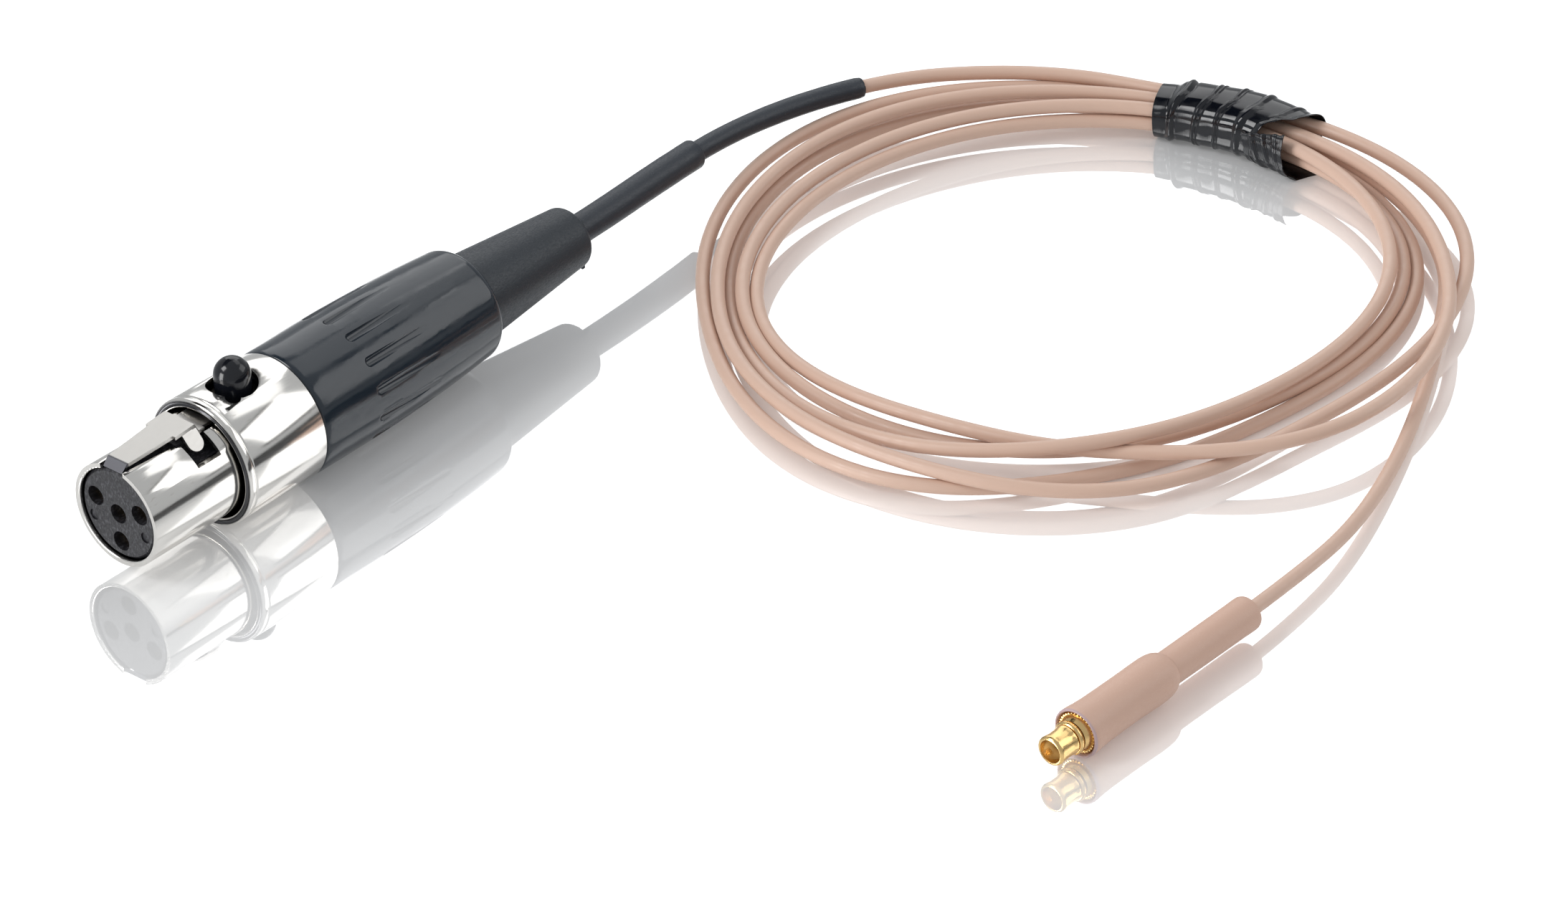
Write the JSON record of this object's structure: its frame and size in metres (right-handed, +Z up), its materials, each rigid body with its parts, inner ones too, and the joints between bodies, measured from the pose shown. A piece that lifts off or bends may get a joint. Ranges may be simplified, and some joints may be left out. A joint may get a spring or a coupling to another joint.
{
  "type": "headset microphone cable assembly",
  "caption": "Detachable headset microphone cable: locking miniature plug with a sprung latch and button, a thin tan cable in a taped coil, and a gilt push-on coaxial plug.",
  "frame": {"origin": "on the supporting surface, under the middle of the locking plug", "axes": "+X from the plug's mating face back along its axis to the cable, +Z up through the release button"},
  "size_m": [0.0946, 0.0739, 0.0117],
  "materials": {
    "nickel": "satin nickel plate with fine draw lines",
    "spring_steel": "stamped nickelled spring strip",
    "phenolic": "mottled black moulded phenolic",
    "gilt": "bright gold plate",
    "button_black": "polished black",
    "handle_black": "glossy blue-black moulding",
    "boot_rubber": "fine leathery grain, matte",
    "clamp_plastic": "moulded nylon",
    "copper": "tinned copper strands",
    "cable_jacket": "skin-tone thermoplastic rubber, satin",
    "heat_shrink": "black polyolefin, satin",
    "vinyl_tape": "stretched black vinyl, glossy",
    "tan_sleeve": "skin-tone heat-shrink, matte",
    "ptfe": "white fluoropolymer"
  },
  "bodies": {
    "plug": {"nose_shell": "nickel", "collar_sleeve": "nickel", "contact_insert": "phenolic", "contact_1": "gilt", "contact_2": "gilt", "contact_3": "gilt", "contact_4": "gilt", "handle": "handle_black", "flex_relief_boot": "boot_rubber", "cable_clamp": "clamp_plastic", "shield_wire": "copper", "core_wire": "copper", "jumper_link": "copper", "inner_cable": "cable_jacket", "lead_cable": "cable_jacket", "tail_cable": "cable_jacket", "cable_coil": "cable_jacket", "thick_shrink_sleeve": "heat_shrink", "thin_shrink_sleeve": "heat_shrink", "tape_wrap": "vinyl_tape", "micro_outer_contact": "gilt", "micro_snap_ring": "gilt", "micro_dielectric": "ptfe", "micro_centre_pin": "gilt", "micro_crimp_ferrule": "gilt", "micro_large_sleeve": "tan_sleeve", "micro_small_sleeve": "tan_sleeve", "micro_cable_end": "cable_jacket"},
    "latch": {"latch_lever": "spring_steel", "release_button": "button_black"}
  },
  "joints": [
    {"name": "latch_press", "type": "hinge", "parent": "plug", "child": "latch", "pos_m": [-0.02275, 0, 0.00873], "axis": [0, 1, 0], "range_deg": [0, 5], "stiffness_Nm_per_rad": 0.4, "springref_deg": -1.15}
  ]
}
